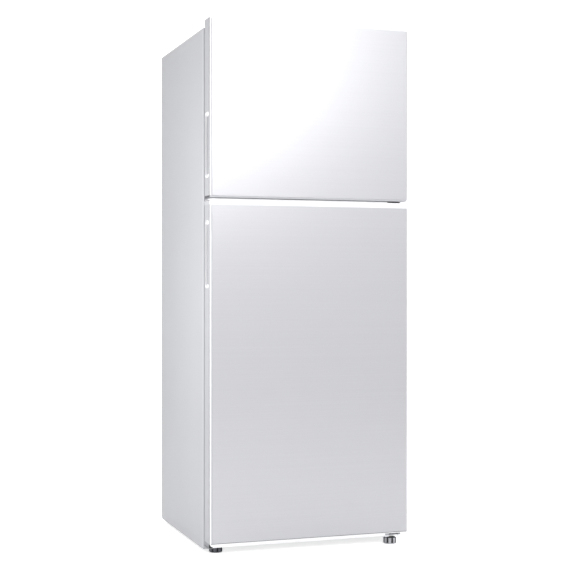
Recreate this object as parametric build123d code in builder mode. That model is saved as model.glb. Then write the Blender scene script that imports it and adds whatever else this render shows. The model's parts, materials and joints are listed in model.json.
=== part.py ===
from build123d import *

import os

# Two-door top-freezer refrigerator, 700 x 664 x 1750 mm, doors hinged on the right.
# Frame: +Z up, front faces -Y, origin on the floor below the middle of the cabinet's outline.
# All lengths are in millimetres.

os.makedirs("parts", exist_ok=True)

# ------------------------------------------------------------------ driving dimensions
WIDTH, DEPTH, HEIGHT = 700.0, 664.0, 1750.0
XH = WIDTH / 2  # outer side faces
Y_F, Y_R = -DEPTH / 2, DEPTH / 2  # door front, cabinet rear
DOOR_T = 60.0  # door thickness
SEAL_GAP = 13.0  # space the seal fills between door and cabinet
Y_DB = Y_F + DOOR_T  # rear face of the doors
Y_C = Y_DB + SEAL_GAP  # front face of the cabinet
SHEET = 0.8  # painted steel sheet
LINER = 1.5  # vacuum formed liner wall
CAB_Z0, CAB_Z1 = 12.0, 1727.0  # cabinet side panels, bottom and top

FZ_DOOR = (1165.5, HEIGHT)  # freezer door, bottom and top
FR_DOOR = (29.0, 1160.0)  # fresh food door, bottom and top
FZ_PANEL = (1172.0, 1745.5)  # front sheet of each door
FR_PANEL = (42.5, 1142.0)
FZ_HANDLE = (1230.0, 1444.0)  # finger recess in the door's left side
FR_HANDLE = (871.0, 1091.0)

FZ_CAV = dict(x=292.0, y=262.0, z0=1206.0, z1=1670.0)  # freezer compartment, inside
FR_CAV = dict(x=302.0, y=270.0, z0=92.0, z1=1126.0)  # fresh food compartment, inside
STEP_Y, STEP_Z = 100.0, 290.0  # the liner steps up over the machine compartment
BAY_Y, BAY_Z = 152.0, 245.0  # machine compartment, front wall and ceiling

PIN_X, PIN_Y, PIN_R = 328.0, -300.0, 4.0  # common door hinge axis
BORE_R = PIN_R + 0.06
FOOT_L, FOOT_R = (-305.0, -249.5), (296.4, -305.8)  # the right foot hangs from the lower hinge plate
FOOT_RAD, FOOT_H, STEM_R = 22.0, 21.0, 5.0
ROLLER_X, ROLLER_Y, ROLLER_R = 300.0, 290.0, 18.0

SHELVES_FR = (300.0, 450.0, 680.0, 900.0)  # ledge heights, fresh food side
SHELF_FZ = 1436.0
TRAY_X, TRAY_Z = (-208.0, -112.0), 1388.0  # ice tray axes

MADE = []


def block(x0, x1, y0, y1, z0, z1, mode=Mode.ADD):
    """An axis-aligned block between six planes, in the current part."""
    with Locations(((x0 + x1) / 2, (y0 + y1) / 2, (z0 + z1) / 2)):
        Box(x1 - x0, y1 - y0, z1 - z0, mode=mode)


def core(x0, x1, y0, y1, z0, z1, c=2.5):
    """A slab whose front right upright edge is bevelled."""
    with BuildPart() as k:
        with BuildSketch(Plane.XY.offset(z0)):
            with BuildLine():
                Polyline((x0, y0), (x1 - c, y0), (x1, y0 + c), (x1, y1), (x0, y1), close=True)
            make_face()
        extrude(amount=z1 - z0)
    return k.part


def post(x, y, z0, z1, r, mode=Mode.ADD):
    """An upright cylinder, in the current part."""
    with Locations((x, y, (z0 + z1) / 2)):
        Cylinder(r, z1 - z0, mode=mode)


def at(*where):
    """Selects the sketch vertices at the given plan positions."""
    return lambda v: any(abs(v.X - a) < 0.01 and abs(v.Y - b) < 0.01 for a, b in where)


def save(builder, name):
    builder.part.label = name
    export_step(builder.part, f"parts/{name}.step")
    MADE.append(name)


# ------------------------------------------------------------------ outer case
with BuildPart() as side_left:
    with BuildSketch(Plane.XY.offset(CAB_Z0)) as s:
        with BuildLine():
            Polyline(
                (-XH + 20, Y_C), (-XH, Y_C), (-XH, Y_R), (-XH + 12, Y_R), (-XH + 12, Y_R - SHEET),
                (-XH + SHEET, Y_R - SHEET), (-XH + SHEET, Y_C + SHEET), (-XH + 20, Y_C + SHEET), close=True,
            )
        make_face()
        fillet(s.vertices().filter_by(at((-XH, Y_C))), 4.0)
        fillet(s.vertices().filter_by(at((-XH + SHEET, Y_C + SHEET))), 3.2)
        fillet(s.vertices().filter_by(at((-XH, Y_R))), 2.0)
        fillet(s.vertices().filter_by(at((-XH + SHEET, Y_R - SHEET))), 1.2)
    extrude(amount=CAB_Z1 - CAB_Z0)
    # the lower rear corner is cut away above the floor
    with BuildSketch(Plane.YZ.offset(-XH - 1)):
        with BuildLine():
            Polyline((Y_R + 1, CAB_Z0 - 1), (Y_R - 13, CAB_Z0 - 1), (Y_R + 1, CAB_Z0 + 13), close=True)
        make_face()
    extrude(amount=30, mode=Mode.SUBTRACT)
    # passage for the lower brackets
    block(-345.4, -325, Y_C - 1, Y_C + 1.5, CAB_Z0 - 1, 30.5, mode=Mode.SUBTRACT)
save(side_left, "side_panel_left")

with BuildPart() as side_right:
    mirror(side_left.part, about=Plane.YZ)
save(side_right, "side_panel_right")

with BuildPart() as top_panel:
    block(-XH + 0.9, XH - 0.9, Y_C + 0.9, Y_R - 0.9, CAB_Z1 - SHEET, CAB_Z1)
    chamfer(top_panel.edges().filter_by(Axis.Z), 3.2)
    block(-XH + 20.1, XH - 20.1, Y_C, Y_C + 0.9, CAB_Z1 - SHEET, CAB_Z1)
    block(-XH + 20.1, XH - 20.1, Y_C, Y_C + SHEET, CAB_Z1 - 20, CAB_Z1)
save(top_panel, "top_panel")

BEADS = (-252.0, -84.0, 84.0, 252.0)
with BuildPart() as back_panel:
    block(-XH + 1.2, XH - 1.2, Y_R - 2.4, Y_R - 1.6, BAY_Z + 0.5, CAB_Z1 - 0.9)
    for bx in BEADS:
        block(bx - 20, bx + 20, Y_R - 5.4, Y_R - 2.4, 330, 1640)
    for bx in BEADS:
        block(bx - 19.2, bx + 19.2, Y_R - 4.6, Y_R, 330.8, 1639.2, mode=Mode.SUBTRACT)
save(back_panel, "back_panel")

# one bent plate: floor under the foam, front rail, machine compartment wall and ceiling, left foot bracket
with BuildPart() as bottom_panel:
    block(-345, 345, -256, BAY_Y, 40, 40.8)
    block(-345, 345, BAY_Y - SHEET, BAY_Y, 40, BAY_Z)
    block(-345, 345, BAY_Y - SHEET, Y_R - 2.8, BAY_Z - SHEET, BAY_Z)
    block(-345, 345, Y_C + 1.6, -200, 38.5, 40.8)
    block(-345, 345, -201.5, -200, 30, 40)
    block(-XH + 20.2, XH - 20.2, Y_C + 0.1, Y_C + 1.6, 30, 59.8)
    block(-342, -268, Y_C + 1.0, -200, 26, 30)
    post(*FOOT_L, 25, 31, STEM_R + 0.05, mode=Mode.SUBTRACT)
    post(*FOOT_L, 37, 42, 7, mode=Mode.SUBTRACT)
save(bottom_panel, "bottom_panel")

# ------------------------------------------------------------------ insulation and liners
with BuildPart() as cabinet_foam:
    block(-XH + 1.1, XH - 1.1, Y_C + 1.7, Y_R - 5.5, 40.9, CAB_Z1 - 1.0)
    chamfer(cabinet_foam.edges().filter_by(Axis.Z), 3.0)
    g = LINER + 0.1
    block(-FZ_CAV["x"] - g, FZ_CAV["x"] + g, Y_C - 20, FZ_CAV["y"] + g, FZ_CAV["z0"] - g, FZ_CAV["z1"] + g, mode=Mode.SUBTRACT)
    with BuildSketch(Plane.YZ.offset(-FR_CAV["x"] - g)):
        with BuildLine():
            Polyline(
                (Y_C - 20, FR_CAV["z0"] - g), (STEP_Y + g, FR_CAV["z0"] - g), (STEP_Y + g, STEP_Z - g),
                (FR_CAV["y"] + g, STEP_Z - g), (FR_CAV["y"] + g, FR_CAV["z1"] + g), (Y_C - 20, FR_CAV["z1"] + g), close=True,
            )
        make_face()
    extrude(amount=2 * (FR_CAV["x"] + g), mode=Mode.SUBTRACT)
    block(-XH, XH, BAY_Y - SHEET - 0.1, Y_R, 30, BAY_Z + 0.1, mode=Mode.SUBTRACT)
    post(*FOOT_L, 40, 62, 7, mode=Mode.SUBTRACT)
save(cabinet_foam, "cabinet_foam")

with BuildPart() as freezer_liner:
    c = FZ_CAV
    block(-c["x"] - LINER, c["x"] + LINER, Y_C, c["y"] + LINER, c["z0"] - LINER, c["z1"] + LINER)
    block(-XH + 20.2, XH - 20.2, Y_C, Y_C + LINER, 1187.2, CAB_Z1 - 20.2)
    with BuildPart(mode=Mode.PRIVATE) as fz_room:
        block(-c["x"], c["x"], Y_C - 5, c["y"], c["z0"], c["z1"])
        fillet(fz_room.edges().filter_by(Axis.Y), 14)
        fillet(fz_room.faces().sort_by(Axis.Y)[-1].edges(), 10)
    add(fz_room.part, mode=Mode.SUBTRACT)
    for sx in (-1, 1):  # moulded ledges for the shelf
        block(*sorted((sx * 280, sx * (c["x"] + 0.5))), -170, 190, SHELF_FZ - 7, SHELF_FZ)
save(freezer_liner, "freezer_liner")

with BuildPart() as fridge_liner:
    c = FR_CAV
    with BuildSketch(Plane.YZ.offset(-c["x"] - LINER)):
        with BuildLine():
            Polyline(
                (Y_C, c["z0"] - LINER), (STEP_Y + LINER, c["z0"] - LINER), (STEP_Y + LINER, STEP_Z - LINER),
                (c["y"] + LINER, STEP_Z - LINER), (c["y"] + LINER, c["z1"] + LINER), (Y_C, c["z1"] + LINER), close=True,
            )
        make_face()
    extrude(amount=2 * (c["x"] + LINER))
    block(-XH + 20.2, XH - 20.2, Y_C, Y_C + LINER, 60, 1144.8)
    with BuildPart(mode=Mode.PRIVATE) as fr_room:
        with BuildSketch(Plane.YZ.offset(-c["x"])) as s:
            with BuildLine():
                Polyline(
                    (Y_C - 5, c["z0"]), (STEP_Y, c["z0"]), (STEP_Y, STEP_Z), (c["y"], STEP_Z), (c["y"], c["z1"]), (Y_C - 5, c["z1"]), close=True,
                )
            make_face()
        extrude(amount=2 * c["x"])
        fillet(fr_room.edges().filter_by(Axis.Y), 14)
    add(fr_room.part, mode=Mode.SUBTRACT)
    for z in SHELVES_FR:  # moulded ledges for the shelves
        for sx in (-1, 1):
            block(*sorted((sx * 290, sx * (c["x"] + 0.5))), -190, 236, z - 7, z)
save(fridge_liner, "fridge_liner")

with BuildPart() as mullion_cover:
    block(-XH + 20.2, XH - 20.2, Y_C, Y_C + LINER, 1145.0, 1187.0)
    fillet(mullion_cover.edges().filter_by(Axis.X).group_by(Axis.Y)[0], 0.6)
save(mullion_cover, "mullion_cover")

# ------------------------------------------------------------------ hinges
UPPER_BOLTS = ((280.0, -232.0), (280.0, -188.0), (326.0, -188.0))
with BuildPart() as hinge_upper:
    with BuildSketch(Plane.XY.offset(CAB_Z1)) as s:
        with BuildLine():
            Polyline((264, -168), (342, -168), (342, -240), (337, -252), (337, PIN_Y), (319, PIN_Y), (319, -252), (264, -252), close=True)
        make_face()
        fillet(s.vertices().filter_by(at((264, -168), (342, -168), (264, -252))), 6)
        with Locations((PIN_X, PIN_Y)):
            Circle(9)
        with Locations(*UPPER_BOLTS):
            Circle(3.1, mode=Mode.SUBTRACT)
    extrude(amount=3)
    post(PIN_X, PIN_Y, CAB_Z1 - 23, CAB_Z1 + 1, PIN_R)
    chamfer(hinge_upper.faces().sort_by(Axis.Z)[0].edges(), 1)
save(hinge_upper, "hinge_upper")

MIDDLE_BOLTS = (298.0, 314.0)
with BuildPart() as hinge_middle:
    block(288, 345, Y_C - 2.5, Y_C, 1149, 1183)
    with BuildSketch(Plane.XY.offset(1161.2)) as s:
        with BuildLine():
            Polyline((296, Y_C - 1), (345, Y_C - 1), (345, -272), (336, -282), (336, PIN_Y), (320, PIN_Y), (296, -270), close=True)
        make_face()
        with Locations((PIN_X, PIN_Y)):
            Circle(8)
    extrude(amount=3)
    post(PIN_X, PIN_Y, 1140, 1187, PIN_R)
    for x in MIDDLE_BOLTS:
        with Locations(Location((x, Y_C - 1, 1156), (90, 0, 0))):
            Cylinder(3.1, 8, mode=Mode.SUBTRACT)
save(hinge_middle, "hinge_middle")

LOWER_BOLTS = ((300.0, -214.0), (336.0, -214.0))
with BuildPart() as hinge_lower:
    with BuildSketch(Plane.XY.offset(26)) as s:
        with BuildLine():
            Polyline(
                (292, -202), (345, -202), (345, -262), (339, -274), (339, PIN_Y), (336, -309), (318, -316), (273, -316),
                (273, -300), (292, -280), close=True,
            )
        make_face()
        fillet(s.vertices().filter_by(at((292, -202), (345, -202))), 5)
        with Locations((PIN_X, PIN_Y)):
            Circle(11)
        with Locations(FOOT_R):
            Circle(STEM_R + 0.05, mode=Mode.SUBTRACT)
        with Locations(*LOWER_BOLTS):
            Circle(3.1, mode=Mode.SUBTRACT)
    extrude(amount=4)
    post(PIN_X, PIN_Y, 29, 58, PIN_R)
    post(PIN_X, PIN_Y, 30, 33, 7.5)
    block(273, 289, -316, -313, 23, 34)  # stiffening lip at the front
save(hinge_lower, "hinge_lower")

with BuildPart() as hinge_cover:
    block(252, 348, -258, -158, CAB_Z1 + 0.1, 1746)
    fillet(hinge_cover.edges().filter_by(Axis.Z), 8)
    fillet(hinge_cover.faces().sort_by(Axis.Z)[-1].edges(), 3)
    with BuildSketch(Plane.XY.offset(CAB_Z1 + 3.4)):
        with BuildLine():
            Polyline((317, -262), (339, -262), (339, PIN_Y), (317, PIN_Y), close=True)
        make_face()
        with Locations((PIN_X, PIN_Y)):
            Circle(11)
    extrude(amount=15.6)
    block(317, 339, -262, -250, CAB_Z1 + 3.4, 1746)
    block(255, 345, -255.6, -161, CAB_Z1, 1743.5, mode=Mode.SUBTRACT)
    block(318.5, 337.5, -260, -250, CAB_Z1, CAB_Z1 + 3.4, mode=Mode.SUBTRACT)
save(hinge_cover, "hinge_cover")

with BuildPart() as fasteners:
    for x, y in UPPER_BOLTS:  # hexagon bolts of the upper hinge
        with BuildSketch(Plane.XY.offset(CAB_Z1 + 3)):
            with Locations((x, y)):
                RegularPolygon(5.5, 6)
        extrude(amount=4)
        post(x, y, CAB_Z1, CAB_Z1 + 3.5, 3.0)
    for x in MIDDLE_BOLTS:  # socket screws of the middle hinge
        with Locations(Location((x, Y_C - 4.2, 1156), (90, 0, 0))):
            Cylinder(4.6, 3.4)
        with Locations(Location((x, Y_C - 1.3, 1156), (90, 0, 0))):
            Cylinder(3.0, 2.6)
    for x, y in LOWER_BOLTS:  # hexagon bolts of the lower hinge
        with BuildSketch(Plane.XY.offset(22)):
            with Locations((x, y)):
                RegularPolygon(5.5, 6)
        extrude(amount=4)
        post(x, y, 25, 30, 3.0)
save(fasteners, "fasteners")

# ------------------------------------------------------------------ machine compartment
with BuildPart() as base_plate:
    block(-343, 343, BAY_Y + 1, Y_R - 5, 30, 31.5)
    for sx in (-1, 1):
        block(*sorted((sx * 341.5, sx * 343)), BAY_Y + 1, 262, 30, 58)
        block(*sorted((sx * 286, sx * 314)), ROLLER_Y - 22, ROLLER_Y + 22, 29, 33, mode=Mode.SUBTRACT)
    for sx in (-1, 1):
        for ex in (284, 314):
            block(*sorted((sx * ex, sx * (ex + 2))), ROLLER_Y - 11, ROLLER_Y + 11, 9, 30)
        with Locations(Location((sx * ROLLER_X, ROLLER_Y, ROLLER_R), (0, 90, 0))):
            Cylinder(3, 32)
save(base_plate, "base_plate")

for side, sx in (("left", -1), ("right", 1)):
    with BuildPart() as roller:
        with Locations(Location((sx * ROLLER_X, ROLLER_Y, ROLLER_R), (0, 90, 0))):
            Cylinder(ROLLER_R, 20)
        fillet(roller.edges().filter_by(GeomType.CIRCLE), 2.5)
        with Locations(Location((sx * ROLLER_X, ROLLER_Y, ROLLER_R), (0, 90, 0))):
            Cylinder(3.06, 30, mode=Mode.SUBTRACT)
    save(roller, f"roller_{side}")

CX, CY = -150.0, 240.0
with BuildPart() as compressor:
    post(CX, CY, 50, 200, 74)
    fillet(compressor.faces().sort_by(Axis.Z)[-1].edges(), 52)
    fillet(compressor.faces().sort_by(Axis.Z)[0].edges(), 18)
    post(CX, CY, 112, 117, 77)
    block(CX - 98, CX + 98, CY - 62, CY + 62, 44, 47.5)
    post(CX, CY, 46, 58, 50)
    for dx in (-84, 84):
        for dy in (-48, 48):
            post(CX + dx, CY + dy, 31.5, 44, 11)
            post(CX + dx, CY + dy, 47, 54, 9)
    block(CX + 55, CX + 108, CY - 24, CY + 24, 92, 148)
    with Locations(Location((CX - 60, CY - 30, 150), (0, -70, 0))):
        Cylinder(5, 60)
save(compressor, "compressor")

with BuildPart() as condenser_coil:
    pts, z, side = [], 58.0, 0
    for i in range(7):
        pts += [(20 if side == 0 else 315, 205, z), (315 if side == 0 else 20, 205, z)]
        side, z = 1 - side, z + 24
    with BuildLine() as run:
        FilletPolyline(*pts, radius=11)
    with BuildSketch(Plane(origin=pts[0], x_dir=(0, 1, 0), z_dir=(1, 0, 0))):
        Circle(3)
    sweep()
    for i in range(18):
        post(38 + i * 15, 205 - 3.4, 52, 208, 0.8)
        post(38 + i * 15, 205 + 3.4, 52, 208, 0.8)
save(condenser_coil, "condenser_coil")

with BuildPart() as drain_pan:
    block(-252, -48, 166, 314, 206, 236)
    fillet(drain_pan.edges().filter_by(Axis.Z), 12)
    with BuildSketch(Plane.XY.offset(208)):
        with Locations((-150, 240)):
            RectangleRounded(200, 144, 10)
    extrude(amount=40, mode=Mode.SUBTRACT)
save(drain_pan, "drain_pan")

with BuildPart() as rear_grille:
    block(-XH + 12.2, XH - 12.2, Y_R - 2.4, Y_R - 1.2, 32, BAY_Z + 0.3)
    block(-XH + 12.2, XH - 12.2, Y_R - 4.8, Y_R - 2.4, 32, 36)
    with GridLocations(0, 0, 1, 1):
        for cx in (-235, -80, 80, 235):
            for i in range(11):
                block(cx - 55, cx + 55, Y_R - 6, Y_R + 1, 66 + i * 13, 72 + i * 13, mode=Mode.SUBTRACT)
    with Locations(Location((160, Y_R - 1, 50), (90, 0, 0))):  # mains cord outlet
        Cylinder(9, 8, mode=Mode.SUBTRACT)
save(rear_grille, "rear_grille")

# ------------------------------------------------------------------ levelling feet
for side, (fx, fy) in (("left", FOOT_L), ("right", FOOT_R)):
    with BuildPart() as foot:
        post(fx, fy, 0, FOOT_H, FOOT_RAD)
        chamfer(foot.faces().sort_by(Axis.Z)[0].edges(), 1.5)
        chamfer(foot.faces().sort_by(Axis.Z)[-1].edges(), 1.5)
        with Locations((fx, fy, FOOT_H / 2 + 3)):
            with PolarLocations(FOOT_RAD + 1.6, 8):
                Cylinder(4.4, FOOT_H, mode=Mode.SUBTRACT)
        post(fx, fy, FOOT_H - 1, 46 if side == "left" else 31.2, STEM_R)
        chamfer(foot.faces().sort_by(Axis.Z)[-1].edges(), 1)
    save(foot, f"foot_{side}")

# ------------------------------------------------------------------ evaporator space
with BuildPart() as evaporator:
    for i in range(26):
        x = -212.5 + i * 17
        block(x - 0.5, x + 0.5, 216, 256, 1236, 1416)
    for k in range(6):
        for y in (226, 246):
            with Locations(Location((0, y, 1251 + 30 * k), (0, 90, 0))):
                Cylinder(4, 446)
    for k in range(5):
        for y in (226, 246):
            sx = 1 if (k + (y > 230)) % 2 else -1
            block(*sorted((sx * 219, sx * 226)), y - 3.5, y + 3.5, 1247 + 30 * k, 1285 + 30 * k)
save(evaporator, "evaporator")

FAN = (0.0, 1560.0)
with BuildPart() as evaporator_cover:
    block(-288, 288, 200, 203, 1207, 1666)
    fillet(evaporator_cover.edges().filter_by(Axis.Y), 14)
    for sx in (-1, 1):
        block(*sorted((sx * 285, sx * 288)), 203, 258, 1240, 1600)
    for i in range(8):  # return air slots
        for cx in (-180, -60, 60, 180):
            if i < 3:
                block(cx - 45, cx + 45, 195, 204, 1216 + i * 12, 1222 + i * 12, mode=Mode.SUBTRACT)
    for cx in (-170, 170):  # supply air slots
        for i in range(4):
            block(cx - 50, cx + 50, 195, 204, 1610 + i * 11, 1616 + i * 11, mode=Mode.SUBTRACT)
    for r in (16, 26, 36, 46):  # ring grille before the fan
        with BuildSketch(Plane.XZ.offset(-206)) as s:
            with Locations(FAN):
                Circle(r + 5)
                Circle(r, mode=Mode.SUBTRACT)
                Rectangle(120, 4, mode=Mode.SUBTRACT)
                Rectangle(4, 120, mode=Mode.SUBTRACT)
        extrude(amount=10, mode=Mode.SUBTRACT)
save(evaporator_cover, "evaporator_cover")

with BuildPart() as fan_motor:
    with Locations(Location((FAN[0], 250, FAN[1]), (90, 0, 0))):
        Cylinder(24, 20)
    fillet(fan_motor.edges().filter_by(GeomType.CIRCLE), 3)
    with Locations(Location((FAN[0], 229, FAN[1]), (90, 0, 0))):
        Cylinder(2.5, 30)
    block(-34, 34, 258, 261.5, FAN[1] - 8, FAN[1] + 8)
save(fan_motor, "fan_motor")

with BuildPart() as fan_blade:
    with Locations(Location((FAN[0], 224, FAN[1]), (90, 0, 0))):
        Cylinder(15, 18)
    for i in range(5):
        with Locations(Location((FAN[0], 224, FAN[1]), (0, 72 * i, 0)) * Location((32, 0, 0), (28, 0, 0))):
            Box(40, 2, 26)
    with Locations(Location((FAN[0], 224, FAN[1]), (90, 0, 0))):
        Cylinder(2.56, 40, mode=Mode.SUBTRACT)
save(fan_blade, "fan_blade")

# ------------------------------------------------------------------ ice maker
with BuildPart() as ice_maker_frame:
    block(-262, -58, -72, 134, 1340, 1435.4)
    block(-259.5, -60.5, -69, 131, 1330, 1432.5, mode=Mode.SUBTRACT)
    for x in TRAY_X:
        with Locations(Location((x, 31, TRAY_Z), (90, 0, 0))):
            Cylinder(5.06, 220, mode=Mode.SUBTRACT)
save(ice_maker_frame, "ice_maker_frame")

for side, tx in zip(("left", "right"), TRAY_X):
    with BuildPart() as tray:
        block(tx - 41, tx + 41, -66, 128, TRAY_Z - 11, TRAY_Z + 11)
        chamfer(tray.faces().sort_by(Axis.Z)[0].edges().filter_by(Axis.Y), 6)
        for i in range(5):
            for k in (-1, 1):
                with BuildSketch(Plane.XY.offset(TRAY_Z + 11)):
                    with Locations((tx + k * 20, -45 + i * 38)):
                        RectangleRounded(34, 32, 4)
                extrude(amount=-19, taper=8, mode=Mode.SUBTRACT)
        with Locations(Location((tx, -71, TRAY_Z), (90, 0, 0))):
            Cylinder(5, 12)
        with Locations(Location((tx, 131, TRAY_Z), (90, 0, 0))):
            Cylinder(5, 8)
        with Locations(Location((tx, -81, TRAY_Z), (90, 0, 0))):  # twist knob
            Cylinder(17, 12)
        block(tx - 4, tx + 4, -94, -80, TRAY_Z - 16, TRAY_Z + 16)
    save(tray, f"ice_tray_{side}")


def open_bin(x0, x1, y0, y1, z0, z1, wall, r, lip=0.0):
    """A moulded bin, open at the top, with rounded corners and an outward bead at the rim."""
    cx, cy = (x0 + x1) / 2, (y0 + y1) / 2
    with BuildPart() as tub:
        with BuildSketch(Plane.XY.offset(z0)):
            with Locations((cx, cy)):
                RectangleRounded(x1 - x0 - 2 * lip, y1 - y0 - 2 * lip, r)
        extrude(amount=z1 - z0)
        if lip:
            with BuildSketch(Plane.XY.offset(z1 - 5)):
                with Locations((cx, cy)):
                    RectangleRounded(x1 - x0, y1 - y0, r + lip)
            extrude(amount=5)
        with BuildSketch(Plane.XY.offset(z0 + wall)):
            with Locations((cx, cy)):
                RectangleRounded(x1 - x0 - 2 * lip - 2 * wall, y1 - y0 - 2 * lip - 2 * wall, r - wall * 0.8)
        extrude(amount=z1 - z0, mode=Mode.SUBTRACT)
    return tub.part


with BuildPart() as ice_bin:
    add(open_bin(-268, -52, -112, 140, 1206.6, 1332, 2.2, 10, 4))
    block(-200, -120, -112, -104, 1316, 1332)
save(ice_bin, "ice_bin")

# ------------------------------------------------------------------ shelves
with BuildPart() as shelf_frames:
    for xh, ya, yb, z in [(299, -110, 234, z) for z in SHELVES_FR] + [(289, -130, 190, SHELF_FZ)]:
        block(-xh, xh, ya, yb, z, z + 12)
        block(-xh + 16, xh - 16, ya + 22, yb - 14, z - 1, z + 13, mode=Mode.SUBTRACT)
        block(-xh + 8, xh - 8, ya + 12, yb - 7, z + 7, z + 13, mode=Mode.SUBTRACT)
save(shelf_frames, "shelf_frames")

with BuildPart() as shelf_glasses:
    for xh, ya, yb, z in [(299, -110, 234, z) for z in SHELVES_FR] + [(289, -130, 190, SHELF_FZ)]:
        block(-xh + 8.3, xh - 8.3, ya + 12.3, yb - 7.3, z + 7, z + 11)
save(shelf_glasses, "shelf_glasses")

# ------------------------------------------------------------------ drawers
with BuildPart() as crisper_drawer:
    add(open_bin(-278, 278, -112, 92, 92.6, 288, 2.5, 14, 5))
    block(-240, 240, -112, -104.5, 250, 288)
    block(-110, 110, -108.9, -90, 262, 276, mode=Mode.SUBTRACT)
save(crisper_drawer, "crisper_drawer")

with BuildPart() as fresh_drawer:
    add(open_bin(-278, 278, -112, 150, 312.6, 420, 2.5, 12, 5))
    block(-240, 240, -112, -104.5, 386, 420)
    block(-110, 110, -108.9, -90, 396, 410, mode=Mode.SUBTRACT)
save(fresh_drawer, "fresh_drawer")

# ------------------------------------------------------------------ air duct, control and lamp
with BuildPart() as rear_duct_cover:
    block(-115, 115, 246, 269.9, 468, 1088)
    fillet(rear_duct_cover.faces().sort_by(Axis.Y)[0].edges().filter_by(Axis.Z), 8)
    block(-112, 112, 249, 272, 470, 1086, mode=Mode.SUBTRACT)
    for zc in (560, 790, 1010):
        for i in range(4):
            for cx in (-62, 62):
                block(cx - 35, cx + 35, 244, 252, zc + i * 12, zc + 5 + i * 12, mode=Mode.SUBTRACT)
save(rear_duct_cover, "rear_duct_cover")

KNOB_Z = 1108.0
with BuildPart() as control_housing:
    block(-150, 150, -180, 60, 1094, 1125.9)
    fillet(control_housing.edges().filter_by(Axis.Z), 8)
    block(-147, 147, -177, 57, 1097, 1127, mode=Mode.SUBTRACT)
    block(-80, 80, -150, -20, 1090, 1100, mode=Mode.SUBTRACT)
    with Locations(Location((110, -180, KNOB_Z), (90, 0, 0))):
        Cylinder(4.06, 16, mode=Mode.SUBTRACT)
save(control_housing, "control_housing")

with BuildPart() as temperature_knob:
    with Locations(Location((110, -187, KNOB_Z), (90, 0, 0))):
        Cylinder(11.5, 12)
    chamfer(temperature_knob.faces().sort_by(Axis.Y)[0].edges(), 1.5)
    block(108.8, 111.2, -196, -190, KNOB_Z - 10, KNOB_Z + 10)
    with Locations(Location((110, -176, KNOB_Z), (90, 0, 0))):
        Cylinder(4, 12)
save(temperature_knob, "temperature_knob")

with BuildPart() as lamp_lens:
    block(-79.8, 79.8, -149.8, -20.2, 1092.5, 1096.8)
    fillet(lamp_lens.faces().sort_by(Axis.Z)[0].edges(), 1.5)
save(lamp_lens, "lamp_lens")

# ------------------------------------------------------------------ doors
TRIM_X = (-XH + 0.6, -318.0)  # hollow side profile that holds the finger recess
DYKE_D = 45.0


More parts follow.
